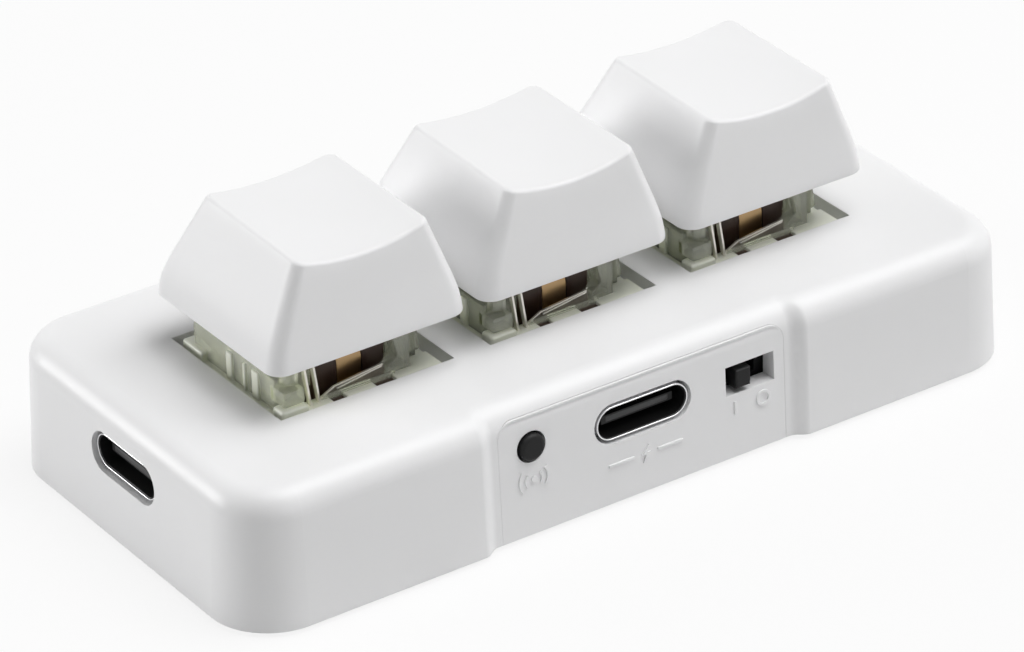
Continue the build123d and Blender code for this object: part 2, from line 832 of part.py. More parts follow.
save("radio_can", on_board(radio_x, 0, radio_end - radio_start, radio_width, radio_height))
save("controller_chip", on_board(-bay_x, chip_y, chip_side, chip_side, chip_height))
save("crystal_can", on_board(crystal_x, crystal_y, crystal_length, crystal_width, crystal_height))
save("charge_chip", on_board(charger_x, charger_y, charger_length, charger_width, charger_height))
save("small_parts", small_parts())

switch_pieces = {
    "lower_housing": lower_housing(),
    "upper_housing": upper_housing(),
    "contact_leaf": contact_leaf(),
    "contact_pins": contact_pins(),
    "spring": spring(),
    "stem": stem(),
    "keycap": keycap(),
}
for place, key_x in key_places.items():
    for piece_name, piece in switch_pieces.items():
        save(piece_name + "_" + place, Pos(key_x, 0, 0) * piece)
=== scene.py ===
"""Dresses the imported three-key macro keypad: finishes, switch detail, springs, sockets, marks and stage."""

import math

import bmesh
import bpy
from bpy.props import FloatProperty, FloatVectorProperty, IntProperty, PointerProperty
from bpy.types import Operator, Panel, PropertyGroup
from mathutils import Matrix, Vector


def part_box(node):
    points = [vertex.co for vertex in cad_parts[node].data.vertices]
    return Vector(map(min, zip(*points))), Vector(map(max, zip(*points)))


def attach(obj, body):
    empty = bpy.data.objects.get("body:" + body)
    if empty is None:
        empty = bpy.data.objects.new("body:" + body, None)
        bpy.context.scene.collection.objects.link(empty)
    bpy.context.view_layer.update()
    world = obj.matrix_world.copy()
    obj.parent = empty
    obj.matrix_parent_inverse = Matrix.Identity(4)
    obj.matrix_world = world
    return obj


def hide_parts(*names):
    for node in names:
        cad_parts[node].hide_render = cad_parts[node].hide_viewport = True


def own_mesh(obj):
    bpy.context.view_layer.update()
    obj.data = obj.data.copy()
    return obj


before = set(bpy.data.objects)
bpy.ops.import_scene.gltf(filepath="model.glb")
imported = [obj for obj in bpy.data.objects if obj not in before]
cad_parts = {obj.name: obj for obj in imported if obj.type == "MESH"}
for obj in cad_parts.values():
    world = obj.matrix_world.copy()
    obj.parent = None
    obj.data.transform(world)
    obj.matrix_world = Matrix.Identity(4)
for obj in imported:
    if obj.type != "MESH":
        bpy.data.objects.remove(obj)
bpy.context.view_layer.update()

bl_info = {
    "name": "Three-key macro keypad",
    "version": (1, 0, 0),
    "blender": (4, 5, 0),
    "location": "View3D > Sidebar > Keypad",
    "description": "Finishes and fine pieces of a small desk keypad with three keys",
    "category": "Object",
}

MM = 0.001
WELD = 0.002 * MM
CREASE = math.radians(32)
PLACES = ("left", "middle", "right")
SQUARE = ((-1, -1), (1, -1), (1, 1), (-1, 1))
WHITE = (1.0, 1.0, 1.0, 1.0)

# Notches in the front of a switch flange, in millimetres from the middle of the switch
NOTCHES = ((-2.8, -1.6), (1.1, 2.9))

# Share of half the height that rounds the ends of an oval or a ring, so that its arcs don't meet
OVAL_SHARE = 0.995
RING_SHARE = 0.999

COIL_STEPS = 28
BUMP_DISTANCE = 0.02 * MM
COVER_FINISH = "Moulded white cover"
LAMP_DISTANCE = 1.2
FLOOR_HALF = 4.0
FLOOR_TONE = (0.82, 0.82, 0.82, 1.0)
FLOOR_GLOW = 0.85
SENSOR_WIDTH = 36.0


# Property helpers

def length(name, description, millimetres):
    """A size that a user would change, shown in the scene's length unit."""
    return FloatProperty(
        name=name, description=description, default=millimetres * MM, unit="LENGTH", precision=5
    )


def spot(name, description, millimetres):
    """A point or a row of sizes that a user would change."""
    return FloatVectorProperty(
        name=name,
        description=description,
        default=[value * MM for value in millimetres],
        size=len(millimetres),
        unit="LENGTH",
        precision=5,
    )


def angle(name, description, degrees):
    """An angle that a user would change."""
    return FloatProperty(name=name, description=description, default=math.radians(degrees), unit="ROTATION")


def tint(name, description, *colour):
    """A linear colour that a user would change."""
    return FloatVectorProperty(
        name=name, description=description, default=colour, size=3, subtype="COLOR", min=0.0, max=1.0
    )


def amount(name, description, value):
    """A plain number that a user would change."""
    return FloatProperty(name=name, description=description, default=value, min=0.0)


class KeypadSizes(PropertyGroup):
    """Sizes of the pieces that are modelled here."""

    edge_round: length("Edge rounding", "Radius that catches light on moulded edges", 0.16)
    case_edge: length("Case edge rounding", "Radius that catches light on the case's edges", 0.10)
    cover_edge: length("Cover edge rounding", "Radius that catches light on the floor cover's edges", 0.04)
    plinth_height: length("Plinth height", "Milky corner plinths above the switch flange", 0.8)
    plinth_half: length("Plinth half width", "Half the square that the plinths' outsides make", 7.4)
    plinth_wall: length("Plinth wall", "How far a plinth reaches in", 1.0)
    flange_trim: length("Flange trim", "Reach of the flange to the right and the back", 7.05)
    strip_height: length("Strip height", "Milky strips along the front of the flange", 0.3)
    front_depth: length("Front depth", "Depth of a hood's front pieces", 1.95)
    right_trim: length("Right trim", "How much narrower a hood is on its right", 0.8)
    pane_height: length("Pane height", "Clear side pane above the flange", 2.7)
    pane_wall: length("Pane wall", "Thickness of the clear side pane", 0.5)
    pane_gap: length("Pane gap", "Gap between the side pane and the rest of a hood", 0.02)
    post_widths: spot("Latch post widths", "Widths of the milky side posts", (0.85, 0.4, 0.95))
    post_places: spot("Latch posts", "Places of the side posts along the switch", (0.75, -1.4, -2.95))
    post_height: length("Latch post height", "How high the side posts reach above the flange", 2.3)
    post_proud: length("Latch post step", "How far a post stands out from the hood", 0.12)
    post_root: length("Latch post root", "How far a post reaches into the hood", 0.3)
    rib_width: length("Rib width", "Upright ribs beside the window", 0.2)
    rib_depth: length("Rib depth", "How far a rib reaches into the hood", 0.5)
    rib_places: spot("Rib places", "Places of the ribs left of the window", (-4.55, -3.75))
    ledge_thick: length("Ledge thickness", "Slanted ledge across the window", 0.15)
    ledge_depth: length("Ledge depth", "Depth of the slanted ledge from front to back", 0.22)
    sill_thick: length("Sill thickness", "Smoky plate below the ledge", 0.14)
    leaf_bend: length("Leaf bend", "How far the top of a contact leaf leans back", 0.45)
    leaf_knee: length("Leaf knee", "How far below its top a contact leaf bends", 2.0)
    coil_turns: IntProperty(name="Coil turns", description="Turns of a return spring", default=8, min=1)
    coil_wire: length("Spring wire", "Thickness of the spring wire", 0.35)
    skirt_round: length("Skirt rounding", "Rounding of a keycap's lower edge", 0.18)
    socket_wall: length("Socket wall", "Thickness of the socket's metal", 0.13)
    socket_lip: length("Socket lip", "Rounding of the socket's front lip", 0.05)
    socket_gap: length("Socket gap", "Gap between a socket and its hole", 0.17)
    # The lining is a dark tube inside each socket: painted shade for the socket's cavity
    shade_lining_wall: length("Lining wall", "Thickness of a socket's dark lining", 0.06)
    shade_lining_sink: length("Lining setback", "How far a socket's lining lies behind its mouth", 0.16)
    side_forward: length("Side socket shift", "How far the side socket stands forward of its solid", 0.9)
    tip_size: spot("Tongue tip", "Width and thickness of the grey tip of a socket's tongue", (5.9, 0.5))
    tongue_setback: length("Tongue setback", "How far a socket's tongue lies behind its mouth", 0.8)
    panel_size: spot("Panel size", "Width and height of the front panel", (26.8, 10.15))
    panel_corner: length("Panel corner", "Radius of the panel's upper corners", 1.4)
    panel_gap: length("Panel gap", "Width of the seam round the panel", 0.12)
    seam_sink: length("Seam depth", "How far the seam's lip lies below the panel's face", 0.015)
    seam_depth: length("Seam lip depth", "How far the seam's lip reaches into the case", 0.5)
    mark_proud: length("Mark height", "How far the raised marks stand out of the panel", 0.12)
    mark_line: length("Mark line", "Width of a raised line", 0.28)
    panel_lean: angle("Panel lean", "Draft of the front panel", 2.5)


class KeypadColours(PropertyGroup):
    """Colours of the finishes, in linear light."""

    case_white: tint("Case white", "Moulded case", 0.86, 0.86, 0.865)
    cap_white: tint("Cap white", "Moulded keycaps", 0.87, 0.87, 0.875)
    clear_green: tint("Clear green", "Smoky clear hood of a switch", 0.85, 0.865, 0.77)
    milky_green: tint("Milky green", "Milky base of a switch", 0.87, 0.89, 0.77)
    # Near-white on the clear ribs and ledges: a painted highlight standing in for the glint on their edges
    painted_highlight_edge: tint("Bright edge", "Polished ribs and ledge of a switch", 0.90, 0.87, 0.80)
    # Tan of the sill: painted shade for the dim area below the ledge
    sill_shade_tan: tint("Sill tan", "Smoky sill below the ledge of a switch", 0.30, 0.27, 0.22)
    stem_brown: tint("Stem brown", "Moving stem of a switch", 0.060, 0.034, 0.024)
    leaf_copper: tint("Leaf copper", "Contact leaf", 0.46, 0.31, 0.16)
    wire_steel: tint("Wire steel", "Return spring", 0.62, 0.61, 0.59)
    socket_steel: tint("Socket steel", "Plated socket shell", 0.72, 0.72, 0.73)
    # Also used for the socket linings, which are painted shade in the socket cavities
    dark_plastic: tint("Dark plastic", "Button, knob and socket insides", 0.0048, 0.0048, 0.0050)
    # Lighter grey on the tongue tips: a painted highlight on their lit faces; the tongues themselves are dark
    # plastic
    tongue_highlight_grey: tint("Tongue grey", "Tips of the tongues inside the sockets", 0.045, 0.045, 0.046)
    board_mask: tint("Board mask", "Printed boards", 0.010, 0.045, 0.028)
    cell_wrap: tint("Cell wrap", "Battery pouch", 0.52, 0.52, 0.54)
    chip_black: tint("Chip black", "Moulded chips", 0.016, 0.016, 0.017)
    screw_steel: tint("Screw steel", "Cover screws", 0.20, 0.20, 0.21)
    foot_grey: tint("Foot grey", "Rubber feet", 0.055, 0.055, 0.058)


class KeypadStage(PropertyGroup):
    """Camera, lamps and floor."""

    camera_place: spot("Camera place", "Where the camera stands", (-210.95, -313.76, 220.4))
    camera_turn: angle("Camera turn", "Camera's turn about the upright", -33.847)
    camera_height: angle("Camera height", "Camera's angle above the horizon", 29.409)
    camera_roll: angle("Camera roll", "Camera's roll", -1.581)
    camera_lens: FloatProperty(
        name="Camera lens", description="Focal length on a 36 mm sensor", default=193.45, unit="CAMERA"
    )
    world_level: amount("World level", "Even light from all round", 0.09)
    top_level: amount("Top lamp", "Light on a face turned to the lamp overhead, a little in front", 0.46)
    key_level: amount("Key lamp", "Light on a face turned to the high lamp on the right", 0.53)
    left_level: amount("Left lamp", "Light on a face turned to the low lamp on the left", 0.60)
    front_level: amount("Front lamp", "Light on a face turned to the lamp at the right front", 0.10)


# Mesh helpers

def at(origin, x, y, z):
    """The point that lies x, y and z millimetres from an origin."""
    return Vector(origin) + Vector((x, y, z)) * MM


def middle_of(node):
    """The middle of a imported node's box."""
    low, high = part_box(node)
    return (Vector(low) + Vector(high)) / 2


def front_of(hood):
    """The middle of the lower front edge of a switch hood's box."""
    low = Vector(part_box(hood)[0])
    return Vector((middle_of(hood).x, low.y, low.z))


def merged_copy(node):
    """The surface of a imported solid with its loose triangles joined."""
    bm = bmesh.new()
    bm.from_mesh(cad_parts[node].data)
    bmesh.ops.remove_doubles(bm, verts=bm.verts, dist=WELD)
    return bm


def edges_of(verts):
    """The edges that meet at any of the given vertices, each once."""
    return list(dict.fromkeys(edge for vert in verts for edge in vert.link_edges))


def verts_in(grown):
    """The vertices among the things that an operator has made."""
    return [item for item in grown if isinstance(item, bmesh.types.BMVert)]


def round_edges(bm, edges, radius, segments=2):
    """Rounds a list of edges."""
    bmesh.ops.bevel(
        bm,
        geom=edges,
        offset=radius,
        offset_type="OFFSET",
        segments=segments,
        profile=0.5,
        affect="EDGES",
        material=-1,
        clamp_overlap=True,
    )


def trim(bm, place, outward):
    """Cuts a closed mesh along a plane and closes the cut."""
    cut = bmesh.ops.bisect_plane(
        bm,
        geom=bm.verts[:] + bm.edges[:] + bm.faces[:],
        dist=WELD / 10,
        plane_co=place,
        plane_no=outward,
        clear_outer=True,
    )["geom_cut"]
    open_edges = [item for item in cut if isinstance(item, bmesh.types.BMEdge) and item.is_boundary]
    bmesh.ops.holes_fill(bm, edges=open_edges, sides=0)


def add_bar(bm, start, end, width, depth, edge):
    """Adds a closed bar from one point to another, width across x and depth across y, edges rounded."""
    run = end - start
    along = run.normalized()
    # A bar that runs mostly along x has its width across z instead
    side = Vector((1, 0, 0)) if abs(along.x) < 0.7 else Vector((0, 0, 1))
    across = (side - along * side.dot(along)).normalized()
    turn = Matrix((across, along.cross(across), along)).transposed().to_4x4()
    verts = bmesh.ops.create_cube(bm, size=1.0)["verts"]
    bmesh.ops.scale(bm, vec=(width, depth, run.length), verts=verts)
    bmesh.ops.transform(bm, matrix=Matrix.Translation((start + end) / 2) @ turn, verts=verts)
    round_edges(bm, edges_of(verts), edge)


def add_block(bm, low, high, edge=0.0):
    """Adds a closed block between two corners, with rounded edges."""
    low, high = Vector(low), Vector(high)
    verts = bmesh.ops.create_cube(bm, size=1.0)["verts"]
    bmesh.ops.scale(bm, vec=high - low, verts=verts)
    bmesh.ops.translate(bm, vec=(low + high) / 2, verts=verts)
    if edge:
        round_edges(bm, edges_of(verts), edge)


def push_out(bm, verts, step):
    """Closes an outline with a face, pushes that out along a step and returns the vertices pushed."""
    moved = verts_in(bmesh.ops.extrude_face_region(bm, geom=[bm.faces.new(verts)])["geom"])
    bmesh.ops.translate(bm, vec=step, verts=moved)
    return moved


def add_plate(bm, origin, outline, back, front, edge=0.0):
    """Adds an upright plate; outline (x, z), back and front (y) are millimetres from an origin."""
    verts = [bm.verts.new(at(origin, x, back, z)) for x, z in outline]
    moved = push_out(bm, verts, (0, (front - back) * MM, 0))
    if edge:
        round_edges(bm, edges_of(verts + moved), edge)


def add_prism(bm, outline, bottom, top, edge):
    """Adds an upright prism whose outline is given as (x, y) corners, its upper edges rounded."""
    verts = [bm.verts.new((x, y, bottom)) for x, y in outline]
    moved = push_out(bm, verts, (0, 0, top - bottom))
    round_edges(bm, edges_of(moved), edge, segments=3)


def add_rounded_face(bm, width, height, radius, segments=8):
    """Adds an upright face about the origin, facing y, with rounded corners."""
    others = set(bm.faces)
    corners = [bm.verts.new((side * width / 2, 0, rise * height / 2)) for side, rise in SQUARE]
    bm.faces.new(corners)
    bmesh.ops.bevel(
        bm,
        geom=corners,
        offset=radius,
        offset_type="OFFSET",
        segments=segments,
        profile=0.5,
        affect="VERTICES",
        material=-1,
    )
    return next(face for face in bm.faces if face not in others)


def add_ring(bm, width, height, radius, wall, depth, lip=0.0):
    """Adds an upright closed tube about the origin, from its front at y = 0 back to its depth."""
    outer = add_rounded_face(bm, width, height, radius)
    rim = bmesh.ops.inset_region(
        bm, faces=[outer], thickness=wall, use_even_offset=True, use_boundary=True
    )["faces"]
    bmesh.ops.delete(bm, geom=[outer], context="FACES_ONLY")
    front_edges = [edge for face in rim for edge in face.edges if len(edge.link_faces) == 1]
    moved = verts_in(bmesh.ops.extrude_face_region(bm, geom=rim)["geom"])
    bmesh.ops.translate(bm, vec=(0, depth, 0), verts=moved)
    bmesh.ops.recalc_face_normals(bm, faces=bm.faces)
    if lip:
        round_edges(bm, [edge for edge in front_edges if edge.is_valid], lip, segments=3)


def make_piece(name, bm, finish, body, replaced=()):
    """Turns a mesh under construction into a finished piece that rides on a body."""
    bmesh.ops.recalc_face_normals(bm, faces=bm.faces)
    for face in bm.faces:
        face.smooth = True
    for edge in bm.edges:
        edge.smooth = edge.calc_face_angle(math.pi) < CREASE
    mesh = bpy.data.meshes.new(name)
    bm.to_mesh(mesh)
    bm.free()
    if "custom_normal" in mesh.attributes:
        mesh.attributes.remove(mesh.attributes["custom_normal"])
    mesh.materials.append(finish)
    piece = bpy.data.objects.new(name, mesh)
    bpy.context.collection.objects.link(piece)
    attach(piece, body)
    if replaced:
        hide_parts(*replaced)
    return piece


def dress(finish, *nodes):
    """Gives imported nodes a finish."""
    for node in nodes:
        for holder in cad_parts[node].material_slots:
            holder.material = finish


# Shader helpers

def put(tree, kind, feeds=None, **settings):
    """Adds a node; a feed is a plain value or another node's output."""
    node = tree.nodes.new(kind)
    for key, value in settings.items():
        setattr(node, key, value)
    for key, value in (feeds or {}).items():
        if isinstance(value, bpy.types.NodeSocket):
            tree.links.new(value, node.inputs[key])
        else:
            node.inputs[key].default_value = value
    return node


def between(tree, mask, low, high):
    """Turns the middle of a noise mask's range into values from low to high."""
    feeds = {"Value": mask, "From Min": 0.3, "From Max": 0.7, "To Min": low, "To Max": high}
    return put(tree, "ShaderNodeMapRange", feeds).outputs["Result"]


def new_group(name, inputs, outputs):
    """An empty shader node group with named float, vector or colour sockets."""
    group = bpy.data.node_groups.new(name, "ShaderNodeTree")
    for direction, sockets in (("INPUT", inputs), ("OUTPUT", outputs)):
        for socket, kind in sockets:
            group.interface.new_socket(name=socket, in_out=direction, socket_type=f"NodeSocket{kind}")
    return group, group.nodes.new("NodeGroupInput"), group.nodes.new("NodeGroupOutput")


def moulded_grain():
    """Fine moulding grain and broad unevenness, shared by the plastics, rubber and metals."""
    name = "Moulded grain"
    if name in bpy.data.node_groups:
        return bpy.data.node_groups[name]
    group, given, result = new_group(
        name,
        (("Vector", "Vector"), ("Grain Scale", "Float"), ("Blotch Scale", "Float")),
        (("Height", "Float"), ("Blotch", "Float")),
    )
    for scale, detail, shown in (("Grain Scale", 2.0, "Height"), ("Blotch Scale", 3.0, "Blotch")):
        feeds = {"Vector": given.outputs["Vector"], "Scale": given.outputs[scale], "Detail": detail}
        noise = put(group, "ShaderNodeTexNoise", feeds)
        group.links.new(noise.outputs["Fac"], result.inputs[shown])
    return group


def uneven_tone():
    """A colour that drifts a little lighter and darker with a mask, shared by every finish."""
    name = "Uneven tone"
    if name in bpy.data.node_groups:
        return bpy.data.node_groups[name]
    group, given, result = new_group(
        name,
        (("Colour", "Color"), ("Mask", "Float"), ("Spread", "Float")),
        (("Colour", "Color"),),
    )
    low = put(group, "ShaderNodeMath", {0: 1.0, 1: given.outputs["Spread"]}, operation="SUBTRACT")
    level = between(group, given.outputs["Mask"], low.outputs[0], 1.0)
    feeds = {0: given.outputs["Colour"], "Scale": level}
    toned = put(group, "ShaderNodeVectorMath", feeds, operation="SCALE")
    group.links.new(toned.outputs["Vector"], result.inputs["Colour"])
    return group


def new_finish(
    name,
    colour,
    roughness,
    drift=0.08,
    spread=0.03,
    grain=5200.0,
    blotch=90.0,
    relief=0.06,
    edge=0.0,
    stretch=(1.0, 1.0, 1.0),
    **plain,
):
    """A procedural finish: uneven tone and gloss, fine relief and softly rounded edges."""
    material = bpy.data.materials.new(name)
    material.use_nodes = True
    tree = material.node_tree
    tree.nodes.clear()
    output = put(tree, "ShaderNodeOutputMaterial")
    shader = put(tree, "ShaderNodeBsdfPrincipled")
    for key, value in plain.items():
        shader.inputs[key.replace("_", " ").title().replace("Ior", "IOR")].default_value = value
    place = put(tree, "ShaderNodeTexCoord").outputs["Object"]
    mapped = put(tree, "ShaderNodeMapping", {"Vector": place, "Scale": stretch})
    feeds = {"Vector": mapped.outputs["Vector"], "Grain Scale": grain, "Blotch Scale": blotch}
    surface = put(tree, "ShaderNodeGroup", feeds, node_tree=moulded_grain())
    mask = surface.outputs["Blotch"]
    feeds = {"Colour": (*colour, 1.0), "Mask": mask, "Spread": spread}
    tone = put(tree, "ShaderNodeGroup", feeds, node_tree=uneven_tone())
    gloss = between(tree, mask, roughness - drift / 2, roughness + drift / 2)
    feeds = {"Strength": relief, "Distance": BUMP_DISTANCE, "Height": surface.outputs["Height"]}
    bump = put(tree, "ShaderNodeBump", feeds)
    if edge:
        soft = put(tree, "ShaderNodeBevel", {"Radius": edge}, samples=6)
        tree.links.new(soft.outputs["Normal"], bump.inputs["Normal"])
    tree.links.new(tone.outputs["Colour"], shader.inputs["Base Color"])
    tree.links.new(gloss, shader.inputs["Roughness"])
    tree.links.new(bump.outputs["Normal"], shader.inputs["Normal"])
    tree.links.new(shader.outputs["BSDF"], output.inputs["Surface"])
    return material


def let_lamps_through(material, colour):
    """Lets lamp light pass a clear finish, tinted, so that what stands behind it is lit."""
    tree = material.node_tree
    output = next(node for node in tree.nodes if node.type == "OUTPUT_MATERIAL")
    shader = next(node for node in tree.nodes if node.type == "BSDF_PRINCIPLED")
    path = put(tree, "ShaderNodeLightPath")
    open_air = put(tree, "ShaderNodeBsdfTransparent", {"Color": (*colour, 1.0)})
    mix = put(tree, "ShaderNodeMixShader", {0: path.outputs["Is Shadow Ray"]})
    tree.links.new(shader.outputs["BSDF"], mix.inputs[1])
    tree.links.new(open_air.outputs["BSDF"], mix.inputs[2])
    tree.links.new(mix.outputs["Shader"], output.inputs["Surface"])


# Operators

class KEYPAD_OT_case(Operator):
    """Finish the white case and its floor cover"""

    bl_idname = "keypad.case"
    bl_label = "Case"

    def execute(self, context):
        sizes, colours = context.scene.keypad_sizes, context.scene.keypad_colours
        for node, name, edge in (
            ("top_shell", "Moulded white case", sizes.case_edge),
            ("bottom_cover", COVER_FINISH, sizes.cover_edge),
        ):
            finish = new_finish(
                name, colours.case_white, roughness=0.38, spread=0.015, relief=0.10, edge=edge
            )
            dress(finish, node)
        return {"FINISHED"}


class KEYPAD_OT_keycaps(Operator):
    """Build the three keycaps with softly blended sides"""

    bl_idname = "keypad.keycaps"
    bl_label = "Keycaps"

    def execute(self, context):
        sizes, colours = context.scene.keypad_sizes, context.scene.keypad_colours
        finish = new_finish(
            "Moulded white cap",
            colours.cap_white,
            roughness=0.42,
            spread=0.015,
            relief=0.14,
            edge=sizes.edge_round,
        )
        for place in PLACES:
            node = f"keycap_{place}"
            bm = merged_copy(node)
            self.round_skirt(bm, node, sizes.skirt_round)
            make_piece(f"cap_{place}", bm, finish, f"key_{place}", [node])
        return {"FINISHED"}

    def round_skirt(self, bm, node, radius):
        """Rounds the lower edge of a cap's outer sides."""
        bottom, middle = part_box(node)[0][2], middle_of(node)
        rim = [
            edge
            for edge in bm.edges
            if all(vert.co.z < bottom + WELD for vert in edge.verts)
            and any(self.is_outer_side(face, middle) for face in edge.link_faces)
        ]
        round_edges(bm, rim, radius, segments=3)

    def is_outer_side(self, face, middle):
        """Whether a face is a side that looks away from the middle of its cap."""
        away = (face.calc_center_median() - middle).xy
        return face.normal.z > -0.5 and away.dot(face.normal.xy) > 0


class KEYPAD_OT_switch_hoods(Operator):
    """Build the clear hoods with their open front"""

    bl_idname = "keypad.switch_hoods"
    bl_label = "Switch hoods"

    def execute(self, context):
        sizes, colours = context.scene.keypad_sizes, context.scene.keypad_colours
        finish = new_finish(
            "Smoky clear hood",
            colours.clear_green,
            roughness=0.12,
            spread=0.08,
            relief=0.05,
            transmission_weight=0.72,
            ior=1.42,
        )
        let_lamps_through(finish, colours.clear_green)
        for place in PLACES:
            node = f"upper_housing_{place}"
            bm = merged_copy(node)
            low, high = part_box(node)
            trim(bm, (0, low[1] + sizes.front_depth, 0), (0, -1, 0))
            trim(bm, (high[0] - sizes.right_trim, 0, 0), (1, 0, 0))
            trim(bm, (low[0] + sizes.pane_wall + sizes.pane_gap, 0, 0), (-1, 0, 0))
            self.add_front(bm, node, sizes)
            make_piece(f"hood_{place}", bm, finish, "base", [node])
        return {"FINISHED"}

    def add_front(self, bm, node, sizes):
        """Adds the clear shapes at a hood's front and left, placed from its lower front edge."""
        low, high = (Vector(corner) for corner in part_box(node))
        front = front_of(node)
        back = sizes.front_depth / MM + 0.1
        pane_end = (low.x + sizes.pane_wall, high.y - 1.0 * MM, low.z + sizes.pane_height)
        blocks = {
            "corner": (at(low, 0, 0, 0.8), at(front, -5.05, back, 2.1), 0.2),
            "pane": (at(low, 0, 1.4, 0), pane_end, 0.12),
            "header": (at(front, -5.0, back - 0.4, 4.3), at(front, 4.8, back + 0.4, 5.3), 0.15),
            "sill": (at(front, -3.6, 0.25, 0), at(front, 3.2, 0.55, 0.55), 0.08),
        }
        columns = {
            "right": (at(front, 6.3, 2.3, 0.5), at(front, 6.1, 2.6, 3.2), 0.7, 0.9, 0.25),
            "left": (at(front, -5.75, 1.2, 2.0), at(front, -5.2, 1.9, 5.2), 1.2, 1.1, 0.2),
        }
        gusset = ((3.0, 4.4), (4.8, 4.4), (4.8, 0.1), (2.5, 0.1), (2.6, 0.7), (3.7, 1.6))
        for start, end, edge in blocks.values():
            add_block(bm, start, end, edge * MM)
        for start, end, width, depth, edge in columns.values():
            add_bar(bm, start, end, width * MM, depth * MM, edge * MM)
        add_plate(bm, front, gusset, back, 0.6, edge=0.12 * MM)


class KEYPAD_OT_switch_bases(Operator):
    """Build the milky switch bases with their plinths, latch posts and front strips"""

    bl_idname = "keypad.switch_bases"
    bl_label = "Switch bases"

    def execute(self, context):
        sizes, colours = context.scene.keypad_sizes, context.scene.keypad_colours
        finish = new_finish(
            "Milky green base",
            colours.milky_green,
            roughness=0.30,
            drift=0.10,
            spread=0.08,
            edge=sizes.edge_round,
            subsurface_weight=0.2,
            subsurface_radius=(1.0, 1.0, 0.8),
            subsurface_scale=0.3 * MM,
        )
        for place in PLACES:
            node, hood = f"lower_housing_{place}", f"upper_housing_{place}"
            bm = merged_copy(node)
            middle = middle_of(node)
            trim(bm, (middle.x + sizes.flange_trim, 0, 0), (1, 0, 0))
            trim(bm, (0, middle.y + sizes.flange_trim, 0), (0, 1, 0))
            self.add_plinths(bm, hood, sizes)
            self.add_posts(bm, hood, sizes)
            self.add_strips(bm, hood, sizes)
            make_piece(f"switch_base_{place}", bm, finish, "base", [node])
        return {"FINISHED"}

    def add_plinths(self, bm, hood, sizes):
        """Adds the corner plinths, all but the right front one."""
        centre, base = middle_of(hood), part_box(hood)[0][2]
        out, far, wall = sizes.plinth_half, sizes.flange_trim, sizes.plinth_wall
        for side, end, across, along, wide, deep in (
            (-1, -1, out, out, 2.4 * MM, 1.5 * MM),
            (-1, 1, out, far, 2.6 * MM, 2.9 * MM),
            (1, 1, far, far, 2.6 * MM, 2.9 * MM),
        ):
            corner = ((0, 0), (wide, 0), (wide, wall), (wall, wall), (wall, deep), (0, deep))
            outline = [(centre.x + side * (across - x), centre.y + end * (along - y)) for x, y in corner]
            add_prism(bm, outline, base - WELD, base + sizes.plinth_height, edge=0.22 * MM)

    def add_posts(self, bm, hood, sizes):
        """Adds the side posts that hold the clear hood."""
        low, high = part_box(hood)
        base = low[2]
        for wall, side in ((low[0], -1), (high[0] - sizes.right_trim, 1)):
            ends = sorted((wall + side * sizes.post_proud, wall - side * sizes.post_root))
            for place, wide in zip(sizes.post_places, sizes.post_widths):
                start = (ends[0], place - wide / 2, base - WELD)
                end = (ends[1], place + wide / 2, base + sizes.post_height)
                add_block(bm, start, end, edge=0.1 * MM)

    def add_strips(self, bm, hood, sizes):
        """Adds the flat strips along the front of the flange, with two notches between them."""
        centre, base = middle_of(hood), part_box(hood)[0][2]
        front, far = -sizes.plinth_half / MM, sizes.flange_trim / MM
        back, side, step = -6.3, -5.1, 4.9
        (first, second), (third, fourth) = NOTCHES
        for outline in (
            ((side, front), (first, front), (first, back), (side, back)),
            ((second, front), (third, front), (third, back), (second, back)),
            ((fourth, front), (far, front), (far, side), (step, side), (step, back), (fourth, back)),
        ):
            corners = [(centre.x + x * MM, centre.y + y * MM) for x, y in outline]
            add_prism(bm, corners, base - WELD, base + sizes.strip_height, edge=0.08 * MM)


